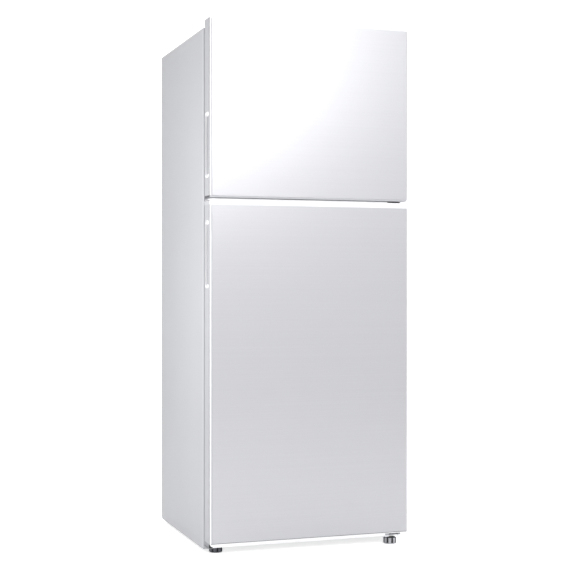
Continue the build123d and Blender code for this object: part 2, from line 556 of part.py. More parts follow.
def door(name, z0, z1, panel_z, core_z, handle_z, seal_z, dyke_x, dyke_z, bins):
    """The fixed pieces of one door."""
    pz0, pz1 = panel_z
    cz0, cz1 = core_z
    with BuildPart() as panel:
        with BuildSketch(Plane.XY.offset(pz0)) as s:
            with BuildLine():
                Polyline(
                    (-340.5, Y_F + 2.8), (-340.5, Y_F), (XH, Y_F), (XH, Y_DB - 1.4), (XH - SHEET, Y_DB - 1.4),
                    (XH - SHEET, Y_F + SHEET), (-339.7, Y_F + SHEET), (-339.7, Y_F + 2.8), close=True,
                )
            make_face()
            fillet(s.vertices().filter_by(at((XH, Y_F))), 3.0)
            fillet(s.vertices().filter_by(at((XH - SHEET, Y_F + SHEET))), 2.2)
            fillet(s.vertices().filter_by(at((-340.5, Y_F))), 0.7)
        extrude(amount=pz1 - pz0)
        if name == "freezer":  # room for the upper hinge arm
            block(XH - 6, XH + 2, Y_F + 5, Y_DB + 2, 1721, pz1 + 5, mode=Mode.SUBTRACT)
    save(panel, f"{name}_door_panel")

    hc, hl = sum(handle_z) / 2, handle_z[1] - handle_z[0]
    yc = Y_F + 28.5
    with BuildPart() as trim:
        with BuildSketch(Plane.XY.offset(pz0)) as s:
            with BuildLine():
                Polyline(
                    (TRIM_X[0], Y_F), (-343.5, Y_F), (-343.5, Y_F + 2), (-341, Y_F + 2), (-341, Y_F + 3), (TRIM_X[1], Y_F + 3),
                    (TRIM_X[1], Y_DB), (TRIM_X[0], Y_DB), close=True,
                )
            make_face()
            fillet(s.vertices().filter_by(at((TRIM_X[0], Y_F))), 4.0)
            fillet(s.vertices().filter_by(at((-343.5, Y_F))), 0.8)
            fillet(s.vertices().filter_by(at((TRIM_X[0], Y_DB))), 3.0)
        extrude(amount=pz1 - pz0)
        with BuildSketch(Plane.YZ.offset(-XH - 2)):
            with Locations((yc, hc)):
                RectangleRounded(40.2, hl + 0.2, 10.1)
        extrude(amount=40, mode=Mode.SUBTRACT)
    save(trim, f"{name}_door_side_trim")

    with BuildPart() as cup:
        with BuildSketch(Plane.YZ.offset(-XH)):
            with Locations((yc, hc)):
                RectangleRounded(40, hl, 10)
        extrude(amount=25.5)
        fillet(cup.faces().sort_by(Axis.X)[0].edges(), 0.5)
        # shallow part, from which the fingers slide forward
        with BuildSketch(Plane.YZ.offset(-XH)):
            with Locations((yc, hc)):
                RectangleRounded(35, hl - 5, 7.5)
        extrude(amount=6, mode=Mode.SUBTRACT)
        # deep part behind the front edge
        with BuildSketch(Plane.XY.offset(hc - hl / 2 + 4.5)) as s:
            with BuildLine():
                Polyline(
                    (-XH + 5, yc - 17.5), (-XH + 22.5, yc - 17.5), (-XH + 22.5, yc - 5), (-XH + 5.5, yc + 16), close=True,
                )
            make_face()
            fillet(s.vertices().filter_by(at((-XH + 22.5, yc - 17.5), (-XH + 22.5, yc - 5))), 4)
        extrude(amount=hl - 9, mode=Mode.SUBTRACT)
    save(cup, f"{name}_door_handle_cup")

    # caps
    with BuildPart() as top_cap:
        if name == "freezer":
            block(-XH, XH, Y_F, Y_DB, pz1, z1)
            fillet(top_cap.edges().filter_by(Axis.Z).group_by(Axis.Y)[0], 3.5)
            fillet(top_cap.faces().sort_by(Axis.Z)[-1].edges(), 1.5)
            add(core(286, XH - 0.9, Y_F + 0.9, Y_DB - 1.4, 1698, pz1))
            block(300, XH + 1, Y_F + 5, Y_DB + 1, 1721, z1 + 1, mode=Mode.SUBTRACT)
            post(PIN_X, PIN_Y, 1701, 1722, BORE_R, mode=Mode.SUBTRACT)
        else:
            block(-XH, XH, Y_F, Y_DB, pz1, z1)
            fillet(top_cap.edges().filter_by(Axis.Z).group_by(Axis.Y)[0], 3.5)
            chamfer(top_cap.edges().filter_by(Axis.X).group_by(Axis.Z)[-1].sort_by(Axis.Y)[0], 3, 5)
            block(-XH + 10, 280, Y_F + 9, Y_DB - 4, z1 - 1, z1 + 3.3)  # raised rib that narrows the gap between the doors
            block(-XH + 5, 300, Y_F + 6, Y_DB - 5, pz1 - 1, z1 - 4, mode=Mode.SUBTRACT)
            post(PIN_X, PIN_Y, 1128, pz1 + 1, 12)
            post(PIN_X, PIN_Y, 1138, z1 + 1, BORE_R, mode=Mode.SUBTRACT)
    save(top_cap, f"{name}_door_top_cap")

    with BuildPart() as bottom_cap:
        if name == "freezer":
            add(core(-317.8, XH - 0.9, Y_F + 0.9, Y_DB, pz0 - 1, pz0 + 12))
            with BuildSketch(Plane.YZ.offset(-XH + 1)):  # lower edge, sloping back under the front sheet
                with BuildLine():
                    Polyline(
                        (Y_F + 2.4, pz0), (Y_F + 2.4, pz0 - 1.4), (Y_F + 1.2, pz0 - 1.4), (Y_F + 5.5, z0), (Y_DB, z0), (Y_DB, pz0), close=True,
                    )
                make_face()
            extrude(amount=2 * XH - 2)
            block(-312, 300, Y_F + 9, Y_DB - 5, z0 + 2.5, pz0 + 13, mode=Mode.SUBTRACT)
            block(XH - 1.5, XH + 1, Y_DB - 1.4, Y_DB + 1, z0 - 1, pz0 + 13, mode=Mode.SUBTRACT)
            post(PIN_X, PIN_Y, pz0 + 11, pz0 + 28, 12)
            post(PIN_X, PIN_Y, z0 - 1, pz0 + 24, BORE_R, mode=Mode.SUBTRACT)
        else:
            block(-XH, XH, Y_F, Y_DB, z0, pz0)
            fillet(bottom_cap.edges().filter_by(Axis.Z).group_by(Axis.Y)[0], 3.5)
            fillet(bottom_cap.edges().filter_by(Axis.X).group_by(Axis.Z)[0].sort_by(Axis.Y)[0], 3)
            block(268, XH + 1, Y_F - 1, Y_DB + 1, z0 - 1, 38, mode=Mode.SUBTRACT)
            block(-343.5, XH + 1, Y_F - 1, Y_F + 2, pz0 - 1.7, pz0 + 1, mode=Mode.SUBTRACT)  # shadow line under the front sheet
            block(-XH + 5, 260, Y_F + 6, Y_DB - 5, z0 + 3, pz0 + 1, mode=Mode.SUBTRACT)
            post(PIN_X, PIN_Y, pz0 - 1, 66, 12)
            post(PIN_X, PIN_Y, 37, 62, BORE_R, mode=Mode.SUBTRACT)
    save(bottom_cap, f"{name}_door_bottom_cap")

    # inner liner with two upright dykes that carry the bins, and a low dyke at top and bottom
    dx0, dx1 = dyke_x
    dz0, dz1 = dyke_z
    with BuildPart() as liner:
        block(-317.8, XH, Y_DB - 1.2, Y_DB, cz0, cz1)
        for sx in (-1, 1):
            with BuildSketch(Plane.XY.offset(dz0)) as s:
                with Locations((sx * (dx0 + dx1) / 2, Y_DB + DYKE_D / 2 - 0.6)):
                    Rectangle(dx1 - dx0, DYKE_D + 1.2)
                fillet(s.vertices().group_by(Axis.Y)[-1], 9)
            extrude(amount=dz1 - dz0)
        for za, zb in ((dz0, dz0 + 14), (dz1 - 14, dz1)):
            block(-dx0, dx0, Y_DB - 1.2, Y_DB + 26, za, zb)
        for sx in (-1, 1):
            with BuildSketch(Plane.XY.offset(dz0 + 1.2)) as s:
                with Locations((sx * (dx0 + dx1) / 2, Y_DB + DYKE_D / 2 - 1.2)):
                    Rectangle(dx1 - dx0 - 2.4, DYKE_D)
                fillet(s.vertices().group_by(Axis.Y)[-1], 7.8)
            extrude(amount=dz1 - dz0 - 2.4, mode=Mode.SUBTRACT)
        if name == "freezer":
            block(299.9, XH + 1, Y_DB - 3, Y_DB + 1, 1720.9, z1, mode=Mode.SUBTRACT)
        for bz in bins:  # lugs on which the bins hang
            for sx in (-1, 1):
                block(*sorted((sx * (dx0 - 4.5), sx * (dx0 + 0.6))), Y_DB + 28, Y_DB + 40, bz + 20, bz + 33.7)
    save(liner, f"{name}_door_liner")

    with BuildPart() as foam:
        add(core(-317.8, XH - 0.9, Y_F + 0.9, Y_DB - 1.3, cz0, cz1))
        for sx in (-1, 1):
            with BuildSketch(Plane.XY.offset(dz0 + 1.3)) as s:
                with Locations((sx * (dx0 + dx1) / 2, Y_DB + DYKE_D / 2 - 1.3)):
                    Rectangle(dx1 - dx0 - 2.6, DYKE_D)
                fillet(s.vertices().group_by(Axis.Y)[-1], 7.8)
            extrude(amount=dz1 - dz0 - 2.6)
        if name == "freezer":
            block(285.9, XH, Y_F, Y_DB, 1697.9, z1, mode=Mode.SUBTRACT)
            post(PIN_X, PIN_Y, z0, pz0 + 28.1, 12.1, mode=Mode.SUBTRACT)
        else:
            post(PIN_X, PIN_Y, 1127.9, z1, 12.1, mode=Mode.SUBTRACT)
            post(PIN_X, PIN_Y, z0, 66.1, 12.1, mode=Mode.SUBTRACT)
    save(foam, f"{name}_door_foam")

    # magnetic seal: foot, bellows neck and magnet bulb
    with BuildPart() as seal:
        sz0, sz1 = seal_z
        zc, zh, xh = (sz0 + sz1) / 2, sz1 - sz0, 652.0
        for y0, y1, inset, w, r in ((0.0, 2.0, 1.0, 14.0, 7.0), (2.0, 6.0, 4.0, 8.0, 5.0), (6.0, 11.8, 0.0, 16.0, 8.0)):
            with BuildSketch(Plane.XZ.offset(-(Y_DB + y0))) as s:
                with Locations((0, zc)):
                    RectangleRounded(xh - 2 * inset, zh - 2 * inset, r)
                    RectangleRounded(xh - 2 * inset - 2 * w, zh - 2 * inset - 2 * w, max(r - 4, 1.5), mode=Mode.SUBTRACT)
            extrude(amount=-(y1 - y0))
        fillet(seal.faces().sort_by(Axis.Y)[-1].edges(), 1.6)
    save(seal, f"{name}_door_seal")


FZ_BINS = ((1236.0, 84.0), (1440.0, 78.0))
FR_BINS = ((124.0, 122.0), (430.0, 92.0), (740.0, 86.0))
door("freezer", *FZ_DOOR, FZ_PANEL, (1184.1, 1745.4), FZ_HANDLE, (1186.0, 1710.0), (249.0, 275.0), (1220.0, 1656.0), [b[0] for b in FZ_BINS])
door("fridge", *FR_DOOR, FR_PANEL, (42.6, 1141.9), FR_HANDLE, (66.0, 1146.0), (259.0, 285.0), (106.0, 1112.0), [b[0] for b in FR_BINS])


def door_bin(name, xh, y1, z0, h):
    """A door bin that drops over the lugs on the dykes and lifts off."""
    y0 = Y_DB + 0.6
    with BuildPart() as b:
        with BuildSketch(Plane.XY.offset(z0)) as s:
            with Locations((0, (y0 + y1) / 2)):
                Rectangle(2 * xh, y1 - y0)
            fillet(s.vertices().group_by(Axis.Y)[-1], 22)
            fillet(s.vertices().group_by(Axis.Y)[0], 4)
        extrude(amount=h)
        with BuildSketch(Plane.XY.offset(z0 + 2.5)) as s:
            with Locations((0, (y0 + y1) / 2)):
                Rectangle(2 * xh - 5, y1 - y0 - 5)
            fillet(s.vertices().group_by(Axis.Y)[-1], 19.5)
            fillet(s.vertices().group_by(Axis.Y)[0], 2)
        extrude(amount=h, mode=Mode.SUBTRACT)
        # front guard: a rolled bead along the top of the walls
        with BuildSketch(Plane.XY.offset(z0 + h - 7)) as s:
            with Locations((0, (y0 + y1) / 2)):
                Rectangle(2 * xh, y1 - y0)
            fillet(s.vertices().group_by(Axis.Y)[-1], 22)
            fillet(s.vertices().group_by(Axis.Y)[0], 4)
            with Locations((0, (y0 + y1) / 2)):
                RectangleRounded(2 * xh - 10, y1 - y0 - 10, 14, mode=Mode.SUBTRACT)
        extrude(amount=7)
        for sx in (-1, 1):
            block(*sorted((sx * (xh - 6), sx * (xh + 1))), Y_DB + 27.4, Y_DB + 40.6, z0 - 1, z0 + 34, mode=Mode.SUBTRACT)
    save(b, name)


for i, (bz, bh) in enumerate(FZ_BINS):
    door_bin(f"freezer_door_bin_{('lower', 'upper')[i]}", 247.4, -172.0, bz, bh)
for i, (bz, bh) in enumerate(FR_BINS):
    door_bin(f"fridge_door_bin_{('lower', 'middle', 'upper')[i]}", 257.4, -150.0, bz, bh)

print(len(MADE), "sub-parts written")
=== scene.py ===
import json
import math

import bmesh
import bpy
from mathutils import Matrix, Vector


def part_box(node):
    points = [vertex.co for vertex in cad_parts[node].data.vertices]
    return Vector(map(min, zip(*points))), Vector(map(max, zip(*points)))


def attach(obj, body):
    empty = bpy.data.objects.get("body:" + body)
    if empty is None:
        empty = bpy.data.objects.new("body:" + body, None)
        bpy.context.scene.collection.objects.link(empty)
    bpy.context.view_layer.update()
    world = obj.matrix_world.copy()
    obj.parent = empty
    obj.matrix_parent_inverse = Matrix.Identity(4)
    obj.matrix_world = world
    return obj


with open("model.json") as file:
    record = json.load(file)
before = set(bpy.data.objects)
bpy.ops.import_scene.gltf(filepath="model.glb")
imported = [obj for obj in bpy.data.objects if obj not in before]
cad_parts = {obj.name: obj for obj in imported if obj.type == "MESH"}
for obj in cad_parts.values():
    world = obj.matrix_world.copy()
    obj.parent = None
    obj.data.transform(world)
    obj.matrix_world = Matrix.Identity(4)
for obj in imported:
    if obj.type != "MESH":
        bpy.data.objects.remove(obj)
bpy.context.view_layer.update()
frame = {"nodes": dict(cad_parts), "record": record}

NODES = frame["nodes"]
SCENE = bpy.context.scene


# ---------------------------------------------------------------- node helpers
class Shader:
    """A Principled material with a few short ways to build its nodes. Coordinates are the object's own, in metres."""

    def __init__(self, name, **sockets):
        self.mat = bpy.data.materials.new(name)
        self.mat.use_nodes = True
        self.nt = self.mat.node_tree
        self.bsdf = self.nt.nodes["Principled BSDF"]
        for k, v in sockets.items():
            self.set(k.replace("_", " "), v)
        self.coord = self.nt.nodes.new("ShaderNodeTexCoord").outputs["Object"]

    def set(self, socket, value):
        for s in self.bsdf.inputs:
            if s.name.lower() == socket.lower():
                if s.type == "RGBA" and len(value) == 3:
                    value = (*value, 1.0)
                s.default_value = value
                return
        raise KeyError(socket)

    def link(self, out, socket):
        for s in self.bsdf.inputs:
            if s.name.lower() == socket.lower():
                self.nt.links.new(out, s)
                return
        raise KeyError(socket)

    def stretch(self, scale, turn=(0, 0, 0)):
        m = self.nt.nodes.new("ShaderNodeMapping")
        m.inputs["Scale"].default_value = scale
        m.inputs["Rotation"].default_value = turn
        self.nt.links.new(self.coord, m.inputs["Vector"])
        return m.outputs["Vector"]

    def noise(self, scale=1.0, detail=3.0, rough=0.5, vector=None, distortion=0.0):
        n = self.nt.nodes.new("ShaderNodeTexNoise")
        n.inputs["Scale"].default_value = scale
        n.inputs["Detail"].default_value = detail
        n.inputs["Roughness"].default_value = rough
        n.inputs["Distortion"].default_value = distortion
        self.nt.links.new(vector or self.coord, n.inputs["Vector"])
        return n.outputs["Fac"]

    def voronoi(self, scale, vector=None, out="Color", feature="F1"):
        n = self.nt.nodes.new("ShaderNodeTexVoronoi")
        n.feature = feature
        n.inputs["Scale"].default_value = scale
        self.nt.links.new(vector or self.coord, n.inputs["Vector"])
        return n.outputs[out]

    def span(self, fac, a, b, lo=0.3, hi=0.7):
        """fac from lo to hi becomes a to b."""
        n = self.nt.nodes.new("ShaderNodeMapRange")
        n.inputs["From Min"].default_value = lo
        n.inputs["From Max"].default_value = hi
        n.inputs["To Min"].default_value = a
        n.inputs["To Max"].default_value = b
        self.nt.links.new(fac, n.inputs["Value"])
        return n.outputs["Result"]

    def ramp(self, fac, *stops):
        n = self.nt.nodes.new("ShaderNodeValToRGB")
        e = n.color_ramp.elements
        while len(e) < len(stops):
            e.new(0.5)
        for el, (p, c) in zip(e, stops):
            el.position = p
            el.color = (*c, 1.0)
        self.nt.links.new(fac, n.inputs["Fac"])
        return n.outputs["Color"]

    def mix(self, fac, a, b, mode="MIX"):
        n = self.nt.nodes.new("ShaderNodeMix")
        n.data_type = "RGBA"
        n.blend_type = mode
        for key, v in (("Factor", fac), ("A", a), ("B", b)):
            s = [i for i in n.inputs if i.name == key and (i.type == "RGBA" if key != "Factor" else i.type == "VALUE")][0]
            if isinstance(v, (int, float)):
                s.default_value = v if key == "Factor" else (v, v, v, 1.0)
            elif isinstance(v, tuple):
                s.default_value = (*v, 1.0)
            else:
                self.nt.links.new(v, s)
        return [o for o in n.outputs if o.type == "RGBA"][0]

    def maths(self, op, a, b):
        n = self.nt.nodes.new("ShaderNodeMath")
        n.operation = op
        for s, v in zip(n.inputs, (a, b)):
            if isinstance(v, (int, float)):
                s.default_value = v
            else:
                self.nt.links.new(v, s)
        return n.outputs[0]

    def bump(self, height, strength, distance, normal=None):
        n = self.nt.nodes.new("ShaderNodeBump")
        n.inputs["Strength"].default_value = strength
        n.inputs["Distance"].default_value = distance
        self.nt.links.new(height, n.inputs["Height"])
        if normal is not None:
            self.nt.links.new(normal, n.inputs["Normal"])
        self.link(n.outputs["Normal"], "Normal")
        return n.outputs["Normal"]


def srgb(r, g, b):
    return tuple(((c / 255) / 12.92 if c / 255 <= 0.04045 else ((c / 255 + 0.055) / 1.055) ** 2.4) for c in (r, g, b))


def vary(c, k):
    return tuple(min(1.0, x * k) for x in c)


# ---------------------------------------------------------------- materials
def door_steel():
    s = Shader("door_steel", Metallic=0.6, Roughness=0.30, Coat_Weight=0.2, Coat_Roughness=0.2)
    streaks = s.noise(1.0, 1.0, 0.5, s.stretch((1.1, 1.1, 300.0)))  # long brushed bands, 3 to 8 mm high
    hairs = s.noise(1.0, 1.0, 0.6, s.stretch((3.2, 3.2, 1900.0)))  # single hairlines
    cloud = s.noise(1.4, 2.0, 0.5)
    base = srgb(196, 196, 200)
    c = s.ramp(s.maths("ADD", s.maths("MULTIPLY", streaks, 0.6), s.maths("MULTIPLY", hairs, 0.4)), (0.3, vary(base, 0.984)), (0.5, base), (0.7, vary(base, 1.018)))
    c = s.mix(s.span(cloud, 0.0, 0.16), c, srgb(192, 193, 199))
    s.link(c, "Base Color")
    s.link(s.span(hairs, 0.275, 0.33), "Roughness")
    s.bump(s.maths("ADD", s.maths("MULTIPLY", hairs, 0.6), streaks), 0.02, 0.0002)
    s.set("Anisotropic", 0.35)
    return s.mat


def coated_steel(name, rgb, rough=0.42, grain=900.0, metallic=0.0):
    s = Shader(name, Metallic=metallic, Roughness=rough, Coat_Weight=0.08, Coat_Roughness=0.3)
    peel = s.noise(grain, 2.0, 0.5)
    wide = s.noise(2.3, 3.0, 0.55)
    c = s.ramp(wide, (0.3, vary(srgb(*rgb), 0.975)), (0.7, vary(srgb(*rgb), 1.02)))
    s.link(c, "Base Color")
    s.link(s.span(peel, rough - 0.05, rough + 0.06), "Roughness")
    s.bump(peel, 0.16, 0.00025)
    return s.mat


def moulded(name, rgb, rough=0.38, grain=1500.0, depth=0.00012, strength=0.2, spread=0.02, sub=0.0):
    s = Shader(name, Roughness=rough)
    fine = s.noise(grain, 2.0, 0.55)
    flow = s.noise(6.0, 3.0, 0.5, s.stretch((1.0, 1.0, 0.45)))
    base = srgb(*rgb)
    s.link(s.ramp(flow, (0.3, vary(base, 1 - spread)), (0.7, vary(base, 1 + spread))), "Base Color")
    s.link(s.span(fine, rough - 0.05, rough + 0.05), "Roughness")
    s.bump(s.maths("ADD", fine, s.maths("MULTIPLY", flow, 1.5)), strength, depth)
    if sub:
        s.set("Subsurface Weight", sub)
        s.set("Subsurface Radius", (0.004, 0.004, 0.004))
    return s.mat


def clear(name, tint, rough=0.06, ior=1.3, frost=0.0):
    s = Shader(name, Roughness=rough, IOR=ior, Transmission_Weight=1.0 - frost)
    flow = s.noise(9.0, 3.0, 0.6)
    fine = s.noise(260.0, 2.0, 0.5)
    s.link(s.ramp(flow, (0.3, vary(tint, 0.97)), (0.7, vary(tint, 1.02))), "Base Color")
    s.link(s.span(fine, max(rough - 0.03, 0.0), rough + 0.05), "Roughness")
    s.bump(flow, 0.12, 0.0006)
    return s.mat


def zinc(name, rgb, spangle=55.0, rough=0.42, metallic=0.85, flake=0.1):
    s = Shader(name, Metallic=metallic, Roughness=rough)
    cells = s.voronoi(spangle)
    grey = s.nt.nodes.new("ShaderNodeRGBToBW")
    s.nt.links.new(cells, grey.inputs[0])
    base = srgb(*rgb)
    fine = s.noise(700.0, 2.0, 0.5)
    s.link(s.ramp(grey.outputs[0], (0.2, vary(base, 1 - flake)), (0.5, base), (0.8, vary(base, 1 + flake))), "Base Color")
    s.link(s.span(grey.outputs[0], rough - 0.4 * flake, rough + 0.5 * flake, 0.2, 0.8), "Roughness")
    s.bump(fine, 0.1, 0.0002)
    return s.mat


def rubbery(name, rgb, rough=0.62):
    s = Shader(name, Roughness=rough)
    fine = s.noise(1100.0, 3.0, 0.6)
    dust = s.noise(30.0, 4.0, 0.6)
    base = srgb(*rgb)
    s.link(s.ramp(dust, (0.35, vary(base, 0.93)), (0.7, vary(base, 1.08))), "Base Color")
    s.link(s.span(fine, rough - 0.08, rough + 0.08), "Roughness")
    s.bump(fine, 0.25, 0.0003)
    return s.mat


def foam():
    s = Shader("rigid_foam", Roughness=0.9)
    pores = s.voronoi(420.0, out="Distance")
    skin = s.noise(14.0, 4.0, 0.6)
    s.link(s.ramp(skin, (0.3, srgb(226, 208, 150)), (0.7, srgb(240, 228, 180))), "Base Color")
    s.bump(s.maths("ADD", pores, skin), 0.5, 0.001)
    return s.mat


def brushed(name, rgb, rough=0.3, scale=(20.0, 1200.0, 1200.0)):
    s = Shader(name, Metallic=1.0, Roughness=rough, Anisotropic=0.3)
    lines = s.noise(1.0, 3.0, 0.6, s.stretch(scale))
    base = srgb(*rgb)
    s.link(s.ramp(lines, (0.3, vary(base, 0.9)), (0.7, vary(base, 1.06))), "Base Color")
    s.link(s.span(lines, rough - 0.07, rough + 0.09), "Roughness")
    s.bump(lines, 0.15, 0.0002)
    return s.mat


def lamp():
    s = Shader("lamp_diffuser", Roughness=0.35, Transmission_Weight=0.2)
    ribs = s.nt.nodes.new("ShaderNodeTexWave")
    ribs.inputs["Scale"].default_value = 90.0
    ribs.inputs["Distortion"].default_value = 0.0
    s.nt.links.new(s.coord, ribs.inputs["Vector"])
    s.link(s.ramp(ribs.outputs["Fac"], (0.0, srgb(238, 238, 232)), (1.0, srgb(250, 250, 246))), "Base Color")
    s.set("Emission Color", (1.0, 0.97, 0.9))
    s.set("Emission Strength", 0.6)
    s.bump(ribs.outputs["Fac"], 0.4, 0.0008)
    return s.mat


MATERIALS = {
    "door_panel": door_steel(),
    "body_paint": coated_steel("body_paint", (190, 191, 195)),
    "galvanised": zinc("galvanised_sheet", (190, 193, 196), spangle=240.0, rough=0.5, metallic=0.6, flake=0.045),
    "foam": foam(),
    "liner_white": moulded("liner_white", (240, 241, 243), rough=0.30, grain=700.0, depth=0.0004, strength=0.12, spread=0.012),
    "white_plastic": moulded("white_plastic", (236, 237, 239), rough=0.42, grain=1700.0),
    "trim_white": moulded("trim_white", (243, 243, 245), rough=0.34, grain=1600.0, strength=0.12),
    "body_plastic": moulded("body_plastic", (214, 214, 217), rough=0.45),
    "black_steel": coated_steel("hinge_black", (32, 32, 35), rough=0.38),
    "grey_steel": zinc("hinge_grey", (150, 152, 156), spangle=140.0, rough=0.38),
    "zinc": zinc("zinc_screw", (186, 186, 180), spangle=400.0, rough=0.3),
    "compressor_black": coated_steel("compressor_black", (20, 20, 22), rough=0.22, grain=260.0),
    "condenser_black": coated_steel("condenser_black", (26, 26, 28), rough=0.35),
    "pan_plastic": moulded("pan_plastic", (196, 197, 196), rough=0.5),
    "evaporator_aluminium": brushed("evaporator_aluminium", (205, 208, 210), 0.35, (900.0, 30.0, 30.0)),
    "motor_black": moulded("motor_black", (36, 36, 38), rough=0.5),
    "fan_plastic": moulded("fan_plastic", (214, 215, 215), rough=0.4),
    "tray_grey": moulded("tray_grey", (208, 213, 220), rough=0.35),
    "clear_plastic": clear("clear_plastic", (0.975, 0.99, 0.995), rough=0.05, ior=1.22, frost=0.10),
    "shelf_trim": moulded("shelf_trim", (236, 237, 240), rough=0.28, grain=1400.0, strength=0.1),
    "shelf_glass": clear("shelf_glass", (0.955, 0.992, 0.98), rough=0.01, ior=1.28),
    "lamp_lens": lamp(),
    "knob_grey": moulded("knob_grey", (190, 192, 197), rough=0.4),
    "seal_grey": rubbery("seal_grey", (150, 152, 155), 0.55),
    "foot_black": moulded("foot_black", (58, 58, 62), rough=0.36, spread=0.06),
    "roller_black": rubbery("roller_black", (52, 52, 54), 0.6),
}

def place(s, axis):
    """One coordinate of the object, in metres."""
    split = s.nt.nodes.new("ShaderNodeSeparateXYZ")
    s.nt.links.new(s.coord, split.inputs[0])
    return split.outputs[axis]


def trim_side():
    """Silver moulding, with a painted highlight in white on the narrow band that faces forward, painted shade as a
    dark line where the side meets that band, and the groove floor painted pale grey as a softer painted highlight.
    """
    s = Shader("trim_side", Roughness=0.36)
    fine = s.noise(1600.0, 2.0, 0.55)
    flow = s.noise(6.0, 3.0, 0.5, s.stretch((1.0, 1.0, 0.3)))
    y = place(s, "Y")
    # painted highlight: the forward-facing band in white
    front = s.span(y, 1.0, 0.0, -0.3312, -0.3306)
    x = place(s, "X")
    # painted shade: a dark line where the side meets the forward band
    edge_shade_line = s.maths("MULTIPLY", s.span(y, 1.0, 0.0, -0.3290, -0.3284), s.span(x, 1.0, 0.0, -0.3465, -0.3462))
    silver = s.ramp(flow, (0.3, srgb(168, 169, 173)), (0.7, srgb(174, 175, 179)))
    c = s.mix(edge_shade_line, silver, srgb(104, 105, 110))
    # groove floor painted pale grey: a softer painted highlight
    c = s.mix(s.maths("MULTIPLY", s.span(x, 0.0, 1.0, -0.3447, -0.3444), s.span(y, 1.0, 0.0, -0.3285, -0.3282)), c, srgb(226, 226, 230))
    s.link(s.mix(front, c, srgb(246, 246, 248)), "Base Color")
    s.link(s.span(fine, 0.32, 0.42), "Roughness")
    s.bump(s.maths("ADD", fine, s.maths("MULTIPLY", flow, 1.5)), 0.12, 0.00012)
    return s.mat


def handle_cup(name, z0, z1):
    """Finger recess: a painted highlight in white down its rear wall and on its round ends, the rest silver."""
    s = Shader(name, Roughness=0.36)
    fine = s.noise(1600.0, 2.0, 0.55)
    flow = s.noise(6.0, 3.0, 0.5, s.stretch((1.0, 1.0, 0.3)))
    y, z = place(s, "Y"), place(s, "Z")
    x = place(s, "X")
    # painted highlight: a white line down the rear wall, and the round ends in white
    back = s.maths("MULTIPLY", s.span(y, 0.0, 1.0, -0.2874, -0.2870), s.maths("MULTIPLY", s.span(x, 0.0, 1.0, -0.3500, -0.3496), s.span(x, 1.0, 0.0, -0.3462, -0.3450)))
    ends = s.maths("ADD", s.span(z, 1.0, 0.0, z0 + 0.011, z0 + 0.0125), s.span(z, 0.0, 1.0, z1 - 0.0125, z1 - 0.011))
    highlight_mask = s.maths("MAXIMUM", back, ends)
    silver = s.ramp(flow, (0.3, srgb(170, 171, 175)), (0.7, srgb(176, 177, 181)))
    s.link(s.mix(highlight_mask, silver, srgb(253, 253, 254)), "Base Color")
    s.link(s.span(fine, 0.3, 0.4), "Roughness")
    s.bump(fine, 0.12, 0.00012)
    return s.mat


def door_cap(name, gap_shade_z=None, tone=(245, 245, 247), end=(184, 185, 189), x0=-0.3492):
    """White cap with a silver end on the handle side, and painted shade in dark where it turns into the gap between
    the doors.
    """
    s = Shader(name, Roughness=0.34)
    fine = s.noise(1600.0, 2.0, 0.55)
    flow = s.noise(6.0, 3.0, 0.5)
    x = place(s, "X")
    side = s.span(x, 1.0, 0.0, x0, x0 + 0.0014)
    white = s.ramp(flow, (0.3, vary(srgb(*tone), 0.985)), (0.7, vary(srgb(*tone), 1.015)))
    silver = srgb(*end)
    if gap_shade_z is not None:
        # painted shade: the handle-side end turns dark above this height, where the cap meets the gap between the
        # doors
        silver = s.mix(s.span(place(s, "Z"), 0.0, 1.0, gap_shade_z, gap_shade_z + 0.0004), silver, srgb(46, 47, 54))
    s.link(s.mix(side, white, silver), "Base Color")
    s.link(s.span(fine, 0.3, 0.4), "Roughness")
    s.bump(fine, 0.12, 0.00012)
    return s.mat


def side_paint():
    """Body paint with a painted highlight, a paler band along the front edge of the side panels where the bend
    catches the light.
    """
    s = Shader("side_paint", Roughness=0.42, Coat_Weight=0.08, Coat_Roughness=0.3)
    peel = s.noise(900.0, 2.0, 0.5)
    wide = s.noise(2.3, 3.0, 0.55)
    base = srgb(177, 178, 182)
    c = s.ramp(wide, (0.3, vary(base, 0.98)), (0.7, vary(base, 1.015)))
    # painted highlight: paler band along the front edge
    front_edge_highlight = s.span(place(s, "Y"), 1.0, 0.0, -0.2500, -0.2465)
    s.link(s.mix(front_edge_highlight, c, vary(base, 1.14)), "Base Color")
    s.link(s.span(peel, 0.37, 0.48), "Roughness")
    s.bump(peel, 0.16, 0.00025)
    return s.mat


